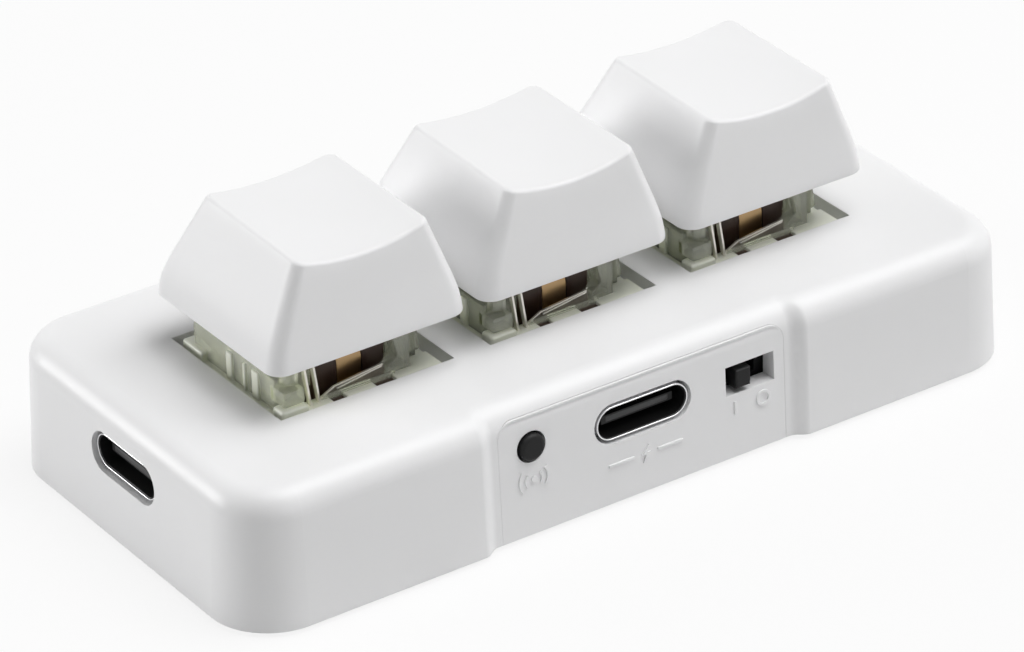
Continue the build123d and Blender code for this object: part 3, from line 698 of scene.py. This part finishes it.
class KEYPAD_OT_window_ribs(Operator):
    """Build the ribs and ledges in the switch windows with a painted highlight, the tan sills with painted
    shade, and the dark blocks below as painted shade
    """

    bl_idname = "keypad.window_ribs"
    bl_label = "Window ribs"

    def execute(self, context):
        sizes, colours = context.scene.keypad_sizes, context.scene.keypad_colours
        # The near-white colour is a painted highlight on the clear ribs and ledges
        bright = new_finish(
            "Bright clear edge",
            colours.painted_highlight_edge,
            roughness=0.18,
            drift=0.10,
            spread=0.06,
            relief=0.05,
            metallic=0.5,
        )
        # Stem-brown blocks in the flange notches and behind the left pane: painted shade for the hollows,
        # partly the switch's dark inside
        dark = new_finish("Latch foot", colours.stem_brown, roughness=0.5, spread=0.2, relief=0.08)
        # The sill's tan tone is painted shade below the ledge
        shaded_sill = new_finish(
            "Smoky sill",
            colours.sill_shade_tan,
            roughness=0.22,
            drift=0.12,
            spread=0.4,
            blotch=1400.0,
            relief=0.08,
            stretch=(0.12, 1.0, 1.0),
        )
        for place in PLACES:
            for name, add, finish, slot in (
                ("window_ribs", self.add_ribs, bright, "clear"),
                ("shade_blocks", self.add_shade_blocks, dark, "black_plastic"),
                ("window_sill", self.add_sill, shaded_sill, "clear"),
            ):
                bm = bmesh.new()
                add(bm, f"upper_housing_{place}", sizes)
                make_piece(f"{name}_{place}", bm, finish, "base")
        return {"FINISHED"}

    def add_ribs(self, bm, hood, sizes):
        """Adds the upright ribs left of the window and the bent double ledge across it."""
        front, half = front_of(hood), sizes.rib_depth / 2
        for place in sizes.rib_places:
            line = front + Vector((place, half, 0))
            add_bar(
                bm, at(line, 0, 0, 0.15), at(line, 0, 0.9, 3.6), sizes.rib_width, sizes.rib_depth, 0.06 * MM
            )
        ledges = (((-3.7, 0.22), (-2.2, 0.98)), ((-2.25, 0.97), (2.2, 1.45)), ((-2.0, 0.72), (2.15, 1.3)))
        for ends in ledges:
            start, end = (at(front, x, 0.5, z) for x, z in ends)
            add_bar(bm, start, end, sizes.ledge_thick, sizes.ledge_depth, 0.05 * MM)

    def add_shade_blocks(self, bm, hood, sizes):
        """Adds the low dark feet in the front notches and the dark slots behind the left pane: painted shade
        for the shadowed hollows, partly the switch's dark inside.
        """
        low, centre = Vector(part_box(hood)[0]), middle_of(hood)
        inside = (low.x + sizes.pane_wall + 0.05 * MM, centre.y, low.z)
        for start, end in ((1.3, 2.45), (-2.3, -1.65), (3.9, 4.1)):
            add_block(bm, at(inside, 0, start, 0.1), at(inside, 0.3, end, 2.0), edge=0.08 * MM)
        flange = (centre.x, centre.y, low.z)
        for start, end in NOTCHES:
            add_block(bm, at(flange, start, -7.3, -0.5), at(flange, end, -6.1, 0.06), edge=0.04 * MM)

    def add_sill(self, bm, hood, sizes):
        """Adds the tan plate below the ledge, in front of the stem; its tone is painted shade for the dim
        area below the ledge.
        """
        outline = ((-3.6, 0.0), (2.4, 0.0), (2.4, 1.3), (-2.2, 0.9), (-3.6, 0.2))
        add_plate(bm, front_of(hood), outline, 0.72, 0.72 - sizes.sill_thick / MM, edge=0.04 * MM)


class KEYPAD_OT_switch_works(Operator):
    """Build the stems and bent contact leaves and finish the pins"""

    bl_idname = "keypad.switch_works"
    bl_label = "Stems and contacts"

    def execute(self, context):
        sizes, colours = context.scene.keypad_sizes, context.scene.keypad_colours
        stem = new_finish(
            "Brown stem", colours.stem_brown, roughness=0.34, spread=0.12, edge=sizes.edge_round
        )
        copper = new_finish(
            "Copper leaf",
            colours.leaf_copper,
            roughness=0.30,
            drift=0.14,
            spread=0.18,
            relief=0.08,
            stretch=(1.0, 1.0, 0.12),
            metallic=1.0,
        )
        for place in PLACES:
            node, leaf = f"stem_{place}", f"contact_leaf_{place}"
            bm = merged_copy(node)
            self.add_cheeks(bm, node, leaf)
            make_piece(f"plunger_{place}", bm, stem, f"key_{place}", [node])
            bm = bmesh.new()
            self.bend_leaf(bm, leaf, sizes)
            make_piece(f"bent_leaf_{place}", bm, copper, "base", [leaf])
            dress(copper, f"contact_pins_{place}")
        return {"FINISHED"}

    def add_cheeks(self, bm, stem, leaf):
        """Widens the stem's legs until they almost touch the contact leaf."""
        low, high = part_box(stem)
        foot = min(vert.co.z for vert in bm.verts if vert.co.y < low[1] + WELD)
        bottom = (middle_of(leaf).x, low[1], foot)
        top = (middle_of(leaf).x, low[1], high[2])
        for start, end in ((-3.13, -1.17), (1.17, 3.13)):
            add_block(bm, at(bottom, start, -0.03, 0), at(top, end, 0.6, -1.9))

    def bend_leaf(self, bm, leaf, sizes):
        """Makes a copper strip whose top leans back from the window."""
        low, high = (Vector(corner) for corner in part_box(leaf))
        knee = high.z - sizes.leaf_knee
        edges = [bm.edges.new([bm.verts.new((x, low.y, low.z)) for x in (low.x, high.x)])]
        for step in ((0, 0, knee - low.z), (0, sizes.leaf_bend, high.z - knee)):
            grown = bmesh.ops.extrude_edge_only(bm, edges=edges)["geom"]
            moved = verts_in(grown)
            bmesh.ops.translate(bm, vec=step, verts=moved)
            grown_edges = [item for item in grown if isinstance(item, bmesh.types.BMEdge)]
            edges = [edge for edge in grown_edges if all(vert in moved for vert in edge.verts)]
        bmesh.ops.recalc_face_normals(bm, faces=bm.faces)
        bmesh.ops.solidify(bm, geom=bm.faces[:], thickness=high.y - low.y)


class KEYPAD_OT_springs(Operator):
    """Wind the return springs"""

    bl_idname = "keypad.springs"
    bl_label = "Return springs"

    def execute(self, context):
        sizes, colours = context.scene.keypad_sizes, context.scene.keypad_colours
        finish = new_finish(
            "Spring wire",
            colours.wire_steel,
            roughness=0.24,
            drift=0.10,
            spread=0.10,
            relief=0.05,
            metallic=1.0,
        )
        for place in PLACES:
            node, joint = f"spring_{place}", f"key_{place}_press"
            low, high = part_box(node)
            bm = bmesh.new()
            self.wind(bm, middle_of(node), (high[0] - low[0]) / 2, low[2], high[2], sizes)
            piece = make_piece(f"return_spring_{place}", bm, finish, "base", [node])
            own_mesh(piece)
        return {"FINISHED"}

    def wind(self, bm, centre, radius, bottom, top, sizes):
        """Winds one round wire from bottom to top about an upright through centre."""
        wire = sizes.coil_wire
        start = Matrix.Translation((centre.x + radius - wire / 2, centre.y, bottom + wire / 2))
        loop = bmesh.ops.create_circle(
            bm,
            cap_ends=True,
            radius=wire / 2,
            segments=8,
            matrix=start @ Matrix.Rotation(math.pi / 2, 4, "X"),
        )["verts"]
        steps = sizes.coil_turns * COIL_STEPS
        bmesh.ops.spin(
            bm,
            geom=[loop[0].link_faces[0]],
            cent=centre,
            axis=(0, 0, 1),
            dvec=(0, 0, (top - bottom - wire) / steps),
            angle=2 * math.pi * sizes.coil_turns,
            steps=steps,
            use_duplicate=False,
        )


class KEYPAD_OT_sockets(Operator):
    """Build the two oval sockets with thin rounded lips, a dark lining that is painted shade in the cavity, a
    tongue, and a lighter tongue tip that is a painted highlight
    """

    bl_idname = "keypad.sockets"
    bl_label = "Sockets"

    def execute(self, context):
        sizes, colours = context.scene.keypad_sizes, context.scene.keypad_colours
        steel = new_finish(
            "Plated socket steel",
            colours.socket_steel,
            roughness=0.22,
            drift=0.10,
            spread=0.08,
            relief=0.04,
            metallic=1.0,
        )
        inside = new_finish(
            "Socket inside",
            colours.dark_plastic,
            roughness=0.5,
            spread=0.2,
            relief=0.08,
            specular_ior_level=0.3,
        )
        grey = new_finish("Socket tongue", colours.tongue_highlight_grey, roughness=0.45, spread=0.2, relief=0.08)
        dress(inside, "front_socket_core")
        bm = merged_copy("side_socket_core")
        bmesh.ops.translate(bm, vec=(-sizes.side_forward, 0, 0), verts=bm.verts)
        make_piece("side_socket_tongue", bm, inside, "base", ["side_socket_core"])
        gap, wall = sizes.socket_gap, sizes.socket_wall
        for place in ("front", "side"):
            shell = f"{place}_socket_shell"
            stand, size = self.measure(shell, place == "side", sizes)
            bm = self.make_tube(size, gap, wall, 0.0, sizes.socket_lip)
            self.set_up(f"{place}_socket_tube", bm, stand, steel, "socket_steel", [shell])
            # Dark lining set back inside the steel tube: painted shade in the socket's cavity
            bm = self.make_tube(size, gap + wall, sizes.shade_lining_wall, sizes.shade_lining_sink, 0.0)
            self.set_up(f"{place}_socket_shade_lining", bm, stand, inside, "black_plastic")
            # A lighter grey block at the tongue's front: painted highlight on the tongue's lit face
            bm = bmesh.new()
            wide, thick = (value / MM for value in sizes.tip_size)
            mouth = (0, sizes.tongue_setback, 0)
            tip = at(mouth, -wide / 2, -0.03, -thick / 2), at(mouth, wide / 2, 0.3, thick / 2)
            add_block(bm, *tip, edge=0.08 * MM)
            self.set_up(f"{place}_socket_tip", bm, stand, grey, "black_plastic")
        return {"FINISHED"}

    def measure(self, shell, at_side, sizes):
        """Where a socket's mouth stands, and the socket's width, height and depth."""
        low, centre = Vector(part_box(shell)[0]), middle_of(shell)
        size = 2 * (centre - low)
        if not at_side:
            return Matrix.Translation((centre.x, low.y, centre.z)), (size.x, size.z, size.y)
        mouth = Matrix.Translation((low.x - sizes.side_forward, centre.y, centre.z))
        turn = Matrix.Rotation(-math.pi / 2, 4, "Z")
        return mouth @ turn, (size.y, size.z, size.x + sizes.side_forward)

    def make_tube(self, size, shrink, wall, sink, lip):
        """An oval tube about the origin, smaller all round by shrink and set back by sink."""
        width, height, depth = size
        wide, tall = width - 2 * shrink, height - 2 * shrink
        bm = bmesh.new()
        add_ring(bm, wide, tall, tall / 2 * OVAL_SHARE, wall, depth - 2 * sink, lip)
        bmesh.ops.translate(bm, vec=(0, sink, 0), verts=bm.verts)
        return bm

    def set_up(self, name, bm, stand, finish, slot, replaced=()):
        """Moves a shape made about the origin to its socket and makes it a piece."""
        bmesh.ops.transform(bm, matrix=stand, verts=bm.verts)
        make_piece(name, bm, finish, "base", replaced)


class KEYPAD_OT_controls(Operator):
    """Finish the round button, the slide knob and what stands behind them"""

    bl_idname = "keypad.controls"
    bl_label = "Button and slide"

    def execute(self, context):
        sizes, colours = context.scene.keypad_sizes, context.scene.keypad_colours
        dark = new_finish(
            "Dark control plastic",
            colours.dark_plastic,
            roughness=0.5,
            spread=0.2,
            relief=0.12,
            edge=sizes.edge_round,
            specular_ior_level=0.25,
        )
        dress(dark, "connect_button", "power_slider", "tact_switch_body", "slide_switch_base")
        can = new_finish(
            "Switch can steel", colours.socket_steel, roughness=0.30, spread=0.1, relief=0.05, metallic=1.0
        )
        dress(can, "slide_switch_can")
        return {"FINISHED"}


class KEYPAD_OT_panel_seam(Operator):
    """Lay the white lip that shows in the seam round the front panel"""

    bl_idname = "keypad.panel_seam"
    bl_label = "Panel seam"

    def execute(self, context):
        sizes = context.scene.keypad_sizes
        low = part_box("bottom_cover")[0]
        overlap, cover = 0.01 * MM, 0.03 * MM
        reach = sizes.panel_gap + overlap
        wide, tall = sizes.panel_size
        bm = bmesh.new()
        add_ring(
            bm,
            wide + 2 * reach,
            2 * (tall + reach),
            sizes.panel_corner + reach,
            reach + cover,
            sizes.seam_depth,
        )
        trim(bm, (0, 0, 0), (0, 0, -1))
        lean = Matrix.Rotation(-sizes.panel_lean, 4, "X")
        place = Matrix.Translation((0, low[1] + sizes.seam_sink, low[2]))
        bmesh.ops.transform(bm, matrix=place @ lean, verts=bm.verts)
        make_piece("panel_seam", bm, bpy.data.materials[COVER_FINISH], "base")
        return {"FINISHED"}


class KEYPAD_OT_panel_marks(Operator):
    """Raise plain signs under the button, the socket and the slide"""

    bl_idname = "keypad.panel_marks"
    bl_label = "Panel marks"

    def execute(self, context):
        sizes = context.scene.keypad_sizes
        finish = bpy.data.materials[COVER_FINISH]
        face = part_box("bottom_cover")[0]
        lean = Matrix.Rotation(-sizes.panel_lean, 4, "X")
        for name, draw, place in (
            ("button_mark", self.draw_waves, (-10.3, 5.1)),
            ("socket_mark", self.draw_charge, (0.1, 3.7)),
            ("slide_mark", self.draw_on_off, (10.05, 4.7)),
        ):
            bm = bmesh.new()
            draw(bm, sizes)
            x, z = (value * MM for value in place)
            y = face[1] + (z - face[2]) * math.tan(sizes.panel_lean)
            bmesh.ops.transform(bm, matrix=Matrix.Translation((x, y, z)) @ lean, verts=bm.verts)
            make_piece(name, bm, finish, "base")
        return {"FINISHED"}

    def draw_line(self, bm, x, tall, wide, sizes):
        """A raised bar, centred on the mark's line."""
        proud = sizes.mark_proud
        low, high = (x - wide / 2, -proud, -tall / 2), (x + wide / 2, proud, tall / 2)
        add_block(bm, low, high, edge=proud / 2)

    def draw_arc(self, bm, radius, middle, half, sizes):
        """A raised arc about the mark's centre, half an opening either side of a middle angle."""
        line, proud = sizes.mark_line, sizes.mark_proud
        start = Matrix.Rotation(-(middle - half), 4, "Y")
        verts = [
            bm.verts.new(start @ Vector((radius + side * line / 2, depth * proud, 0)))
            for side, depth in SQUARE
        ]
        bmesh.ops.spin(
            bm,
            geom=[bm.faces.new(verts)],
            cent=(0, 0, 0),
            axis=(0, -1, 0),
            angle=2 * half,
            steps=12,
            use_duplicate=False,
        )

    def draw_ring(self, bm, x, radius, wall, sizes):
        """A raised ring, centred on the mark's line."""
        others = set(bm.verts)
        add_ring(bm, 2 * radius, 2 * radius, radius * RING_SHARE, wall, 2 * sizes.mark_proud)
        made = [vert for vert in bm.verts if vert not in others]
        bmesh.ops.translate(bm, vec=(x, -sizes.mark_proud, 0), verts=made)

    def draw_waves(self, bm, sizes):
        """A dot between two pairs of arcs: send and receive."""
        dot, arcs, half = 0.27 * MM, (0.75 * MM, 1.3 * MM), math.radians(38)
        bmesh.ops.create_cone(
            bm,
            cap_ends=True,
            segments=24,
            radius1=dot,
            radius2=dot,
            depth=2 * sizes.mark_proud,
            matrix=Matrix.Rotation(math.pi / 2, 4, "X"),
        )
        for middle in (0.0, math.pi):
            for radius in arcs:
                self.draw_arc(bm, radius, middle, half, sizes)

    def draw_charge(self, bm, sizes):
        """A bolt between two lines: charging."""
        bolt = ((0.28, 0.75), (-0.44, -0.1), (-0.04, -0.1), (-0.28, -0.75), (0.44, 0.1), (0.04, 0.1))
        proud = sizes.mark_proud / MM
        apart, wide = 2.3 * MM, 2.4 * MM
        add_plate(bm, (0, 0, 0), bolt, proud, -proud)
        for x in (-apart, apart):
            self.draw_line(bm, x, sizes.mark_line, wide, sizes)

    def draw_on_off(self, bm, sizes):
        """A stroke and a ring: on and off."""
        apart, tall, radius = 1.35 * MM, 1.15 * MM, 0.68 * MM
        self.draw_line(bm, -apart, tall, sizes.mark_line, sizes)
        self.draw_ring(bm, apart, radius, 0.8 * sizes.mark_line, sizes)


class KEYPAD_OT_underside(Operator):
    """Finish the cover screws and rubber feet"""

    bl_idname = "keypad.underside"
    bl_label = "Screws and feet"

    def execute(self, context):
        sizes, colours = context.scene.keypad_sizes, context.scene.keypad_colours
        screw = new_finish("Screw steel", colours.screw_steel, roughness=0.34, spread=0.15, metallic=1.0)
        foot = new_finish(
            "Foot rubber", colours.foot_grey, roughness=0.72, spread=0.2, relief=0.3, edge=sizes.edge_round
        )
        dress(screw, "cover_screws")
        dress(foot, "rubber_feet")
        return {"FINISHED"}


class KEYPAD_OT_electronics(Operator):
    """Finish the boards, battery and chips inside the case"""

    bl_idname = "keypad.electronics"
    bl_label = "Electronics"

    def execute(self, context):
        colours = context.scene.keypad_colours
        board = new_finish(
            "Board mask",
            colours.board_mask,
            roughness=0.30,
            spread=0.3,
            relief=0.10,
            grain=2600.0,
            blotch=700.0,
        )
        wrap = new_finish(
            "Cell wrap",
            colours.cell_wrap,
            roughness=0.38,
            spread=0.1,
            relief=0.25,
            grain=900.0,
            metallic=0.6,
        )
        chip = new_finish("Chip black", colours.chip_black, roughness=0.55, spread=0.3, relief=0.25)
        tin = new_finish("Tinned parts", colours.socket_steel, roughness=0.32, spread=0.12, metallic=1.0)
        dress(board, "main_board", "front_board", "side_board")
        dress(wrap, "battery_cell")
        dress(chip, "controller_chip", "charge_chip", "small_parts")
        dress(tin, "battery_tabs", "radio_can", "crystal_can")
        return {"FINISHED"}


class KEYPAD_OT_stage(Operator):
    """Set the floor, the white surround, the soft lamps and the camera"""

    bl_idname = "keypad.stage"
    bl_label = "Stage"

    def execute(self, context):
        scene, settings = context.scene, context.scene.keypad_stage
        scene.view_settings.view_transform = "Standard"
        self.lay_floor()
        self.light_world(scene, settings.world_level)
        for name, level, turn, rise, size in (
            ("Top lamp", settings.top_level, 30.0, 75.0, 0.9),
            ("Key lamp", settings.key_level, 70.0, 60.0, 0.9),
            ("Left lamp", settings.left_level, -132.0, 10.0, 0.6),
            ("Front lamp", settings.front_level, 50.0, 30.0, 0.9),
        ):
            self.hang_lamp(name, level, math.radians(turn), math.radians(rise), size)
        self.place_camera(scene, settings)
        return {"FINISHED"}

    def seen(self, tree):
        """A mask of the rays that show the surround: straight, mirrored or through clear pieces."""
        rays = put(tree, "ShaderNodeLightPath").outputs
        mask = rays["Is Camera Ray"]
        for name in ("Is Glossy Ray", "Is Transmission Ray"):
            mask = put(tree, "ShaderNodeMath", {0: mask, 1: rays[name]}, operation="MAXIMUM").outputs[0]
        return mask

    def lay_floor(self):
        """A pale floor that shows white and still takes a faint shadow."""
        bm = bmesh.new()
        bmesh.ops.create_grid(bm, x_segments=1, y_segments=1, size=FLOOR_HALF)
        mesh = bpy.data.meshes.new("floor")
        bm.to_mesh(mesh)
        bm.free()
        floor = bpy.data.objects.new("floor", mesh)
        bpy.context.collection.objects.link(floor)
        material = bpy.data.materials.new("Pale floor")
        material.use_nodes = True
        tree = material.node_tree
        tree.nodes.clear()
        paper = put(tree, "ShaderNodeBsdfDiffuse", {"Color": FLOOR_TONE})
        glow = put(tree, "ShaderNodeEmission", {"Color": WHITE, "Strength": 1.0})
        share = put(tree, "ShaderNodeMath", {0: self.seen(tree), 1: FLOOR_GLOW}, operation="MULTIPLY")
        feeds = {0: share.outputs[0], 1: paper.outputs["BSDF"], 2: glow.outputs["Emission"]}
        mix = put(tree, "ShaderNodeMixShader", feeds)
        put(tree, "ShaderNodeOutputMaterial", {"Surface": mix.outputs["Shader"]})
        mesh.materials.append(material)

    def light_world(self, scene, level):
        """Even light all round that shows as white."""
        world = bpy.data.worlds.new("White surround")
        world.use_nodes = True
        tree = world.node_tree
        tree.nodes.clear()
        feeds = {"Value": self.seen(tree), "To Min": level, "To Max": 1.0}
        strength = put(tree, "ShaderNodeMapRange", feeds).outputs["Result"]
        light = put(tree, "ShaderNodeBackground", {"Color": WHITE, "Strength": strength})
        put(tree, "ShaderNodeOutputWorld", {"Surface": light.outputs["Background"]})
        scene.world = world

    def hang_lamp(self, name, level, turn, rise, size):
        """A soft square lamp; level is the light that it gives a face turned to it."""
        lamp = bpy.data.lights.new(name, "AREA")
        lamp.shape = "SQUARE"
        lamp.size = size
        lamp.energy = level * (math.pi * LAMP_DISTANCE) ** 2
        holder = bpy.data.objects.new(name, lamp)
        bpy.context.collection.objects.link(holder)
        flat = math.cos(rise)
        back = Vector((math.sin(turn) * flat, -math.cos(turn) * flat, math.sin(rise)))
        holder.location = back * LAMP_DISTANCE
        holder.rotation_euler = back.to_track_quat("Z", "Y").to_euler()

    def place_camera(self, scene, settings):
        """The photograph's viewpoint."""
        camera = bpy.data.cameras.new("camera")
        camera.lens = settings.camera_lens
        camera.sensor_fit = "HORIZONTAL"
        camera.sensor_width = SENSOR_WIDTH
        camera.clip_start = 0.01
        holder = bpy.data.objects.new("camera", camera)
        bpy.context.collection.objects.link(holder)
        turn = Matrix.Rotation(settings.camera_turn, 4, "Z")
        tilt = Matrix.Rotation(math.pi / 2 - settings.camera_height, 4, "X")
        roll = Matrix.Rotation(settings.camera_roll, 4, "Z")
        holder.matrix_world = Matrix.Translation(settings.camera_place) @ turn @ tilt @ roll
        scene.camera = holder


OPERATORS = (
    KEYPAD_OT_case,
    KEYPAD_OT_keycaps,
    KEYPAD_OT_switch_hoods,
    KEYPAD_OT_switch_bases,
    KEYPAD_OT_window_ribs,
    KEYPAD_OT_switch_works,
    KEYPAD_OT_springs,
    KEYPAD_OT_sockets,
    KEYPAD_OT_controls,
    KEYPAD_OT_panel_seam,
    KEYPAD_OT_panel_marks,
    KEYPAD_OT_underside,
    KEYPAD_OT_electronics,
    KEYPAD_OT_stage,
)


class KEYPAD_PT_pieces(Panel):
    """Lists the keypad's pieces and stage"""

    bl_label = "Keypad"
    bl_idname = "KEYPAD_PT_pieces"
    bl_space_type = "VIEW_3D"
    bl_region_type = "UI"
    bl_category = "Keypad"

    def draw(self, context):
        for operator in OPERATORS:
            self.layout.operator(operator.bl_idname)


GROUPS = (
    ("keypad_sizes", KeypadSizes),
    ("keypad_colours", KeypadColours),
    ("keypad_stage", KeypadStage),
)


def register():
    for name, group in GROUPS:
        bpy.utils.register_class(group)
        setattr(bpy.types.Scene, name, PointerProperty(type=group))
    for cls in (*OPERATORS, KEYPAD_PT_pieces):
        bpy.utils.register_class(cls)


def unregister():
    for cls in reversed((*OPERATORS, KEYPAD_PT_pieces)):
        bpy.utils.unregister_class(cls)
    for name, group in reversed(GROUPS):
        delattr(bpy.types.Scene, name)
        bpy.utils.unregister_class(group)


def main():
    register()
    bpy.ops.keypad.case()
    bpy.ops.keypad.keycaps()
    bpy.ops.keypad.switch_hoods()
    bpy.ops.keypad.switch_bases()
    bpy.ops.keypad.window_ribs()
    bpy.ops.keypad.switch_works()
    bpy.ops.keypad.springs()
    bpy.ops.keypad.sockets()
    bpy.ops.keypad.controls()
    bpy.ops.keypad.panel_seam()
    bpy.ops.keypad.panel_marks()
    bpy.ops.keypad.underside()
    bpy.ops.keypad.electronics()
    bpy.ops.keypad.stage()


if __name__ == "__main__":
    main()
